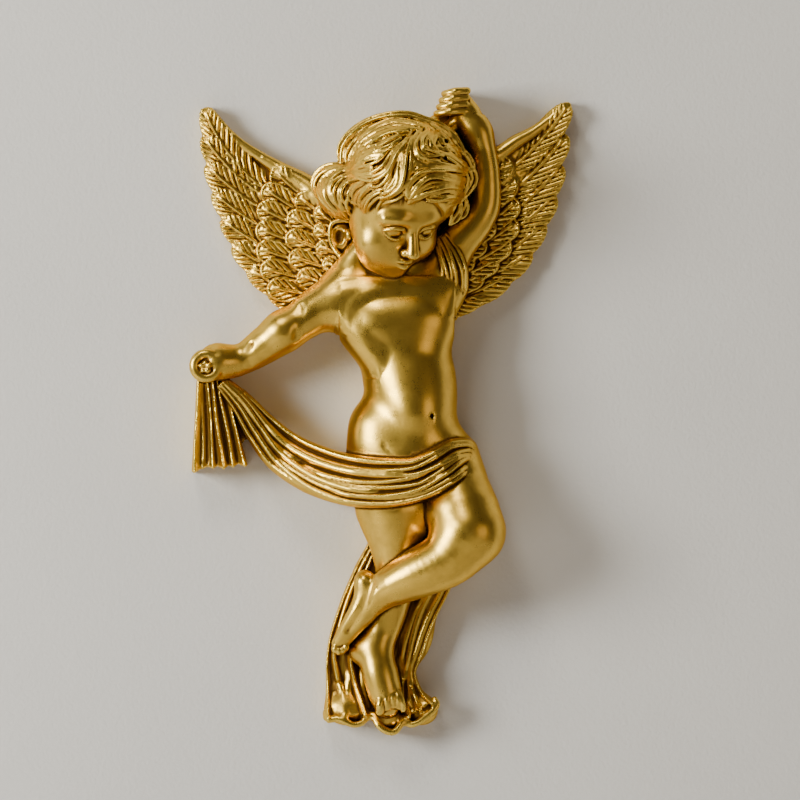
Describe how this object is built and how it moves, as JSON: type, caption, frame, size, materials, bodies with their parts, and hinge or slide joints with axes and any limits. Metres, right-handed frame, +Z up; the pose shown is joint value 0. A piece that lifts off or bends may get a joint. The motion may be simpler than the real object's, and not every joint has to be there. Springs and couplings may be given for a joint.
{
  "type": "cherub wall plaque",
  "caption": "Winged cherub with one arm raised and one leg crossed, holding a hip sash out to the side, cast in gilt resin with a flat back to hang on a wall.",
  "frame": {"origin": "the point of the flat back, behind the shoulders, where the plaque hangs on the wall", "axes": "+Y out of the flat back into the wall, so the figure faces -Y; +Z up towards the raised hand; +X to the viewer's right"},
  "size_m": [0.1359, 0.0527, 0.2285],
  "materials": {
    "gilt_resin": "metallic gold paint over cast resin, with dark brown antiquing in the recesses"
  },
  "bodies": {
    "root": {"cherub": "gilt_resin"}
  },
  "joints": []
}
